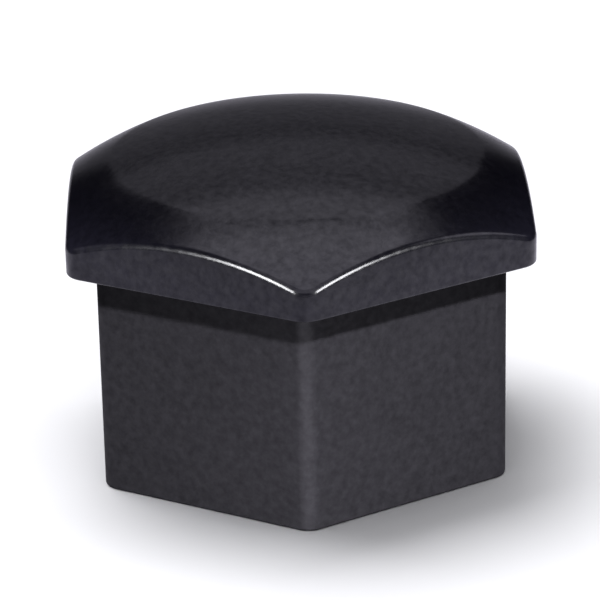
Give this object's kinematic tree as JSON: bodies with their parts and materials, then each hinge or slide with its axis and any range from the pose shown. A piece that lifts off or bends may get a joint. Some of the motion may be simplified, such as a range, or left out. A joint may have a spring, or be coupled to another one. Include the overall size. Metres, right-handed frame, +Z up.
{
  "type": "hexagonal post cap",
  "caption": "Black hexagonal push-on post cap: a domed overhanging crown on a smooth six-sided sleeve that grips the post's end from inside.",
  "frame": {"origin": "centre of the sleeve's bottom rim, on the cap's axis", "axes": "+Z up along the cap's axis towards the crown; two flats face +X and -X; a corner faces -Y, which is the front"},
  "size_m": [0.065, 0.074, 0.0481],
  "materials": {
    "crown_plastic": "satin black, faint grain",
    "sleeve_plastic": "satin black, faint grain",
    "pad_rubber": "matt",
    "spring_steel": "rolled spring strip",
    "zinc_plated_steel": "bright zinc plating"
  },
  "bodies": {
    "root": {"crown": "crown_plastic", "sleeve": "sleeve_plastic", "stop_pad": "pad_rubber", "retaining_clip_right": "spring_steel", "retaining_clip_back_left": "spring_steel", "retaining_clip_front_left": "spring_steel", "crown_screw_right": "zinc_plated_steel", "crown_screw_back_left": "zinc_plated_steel", "crown_screw_front_left": "zinc_plated_steel"}
  },
  "joints": []
}
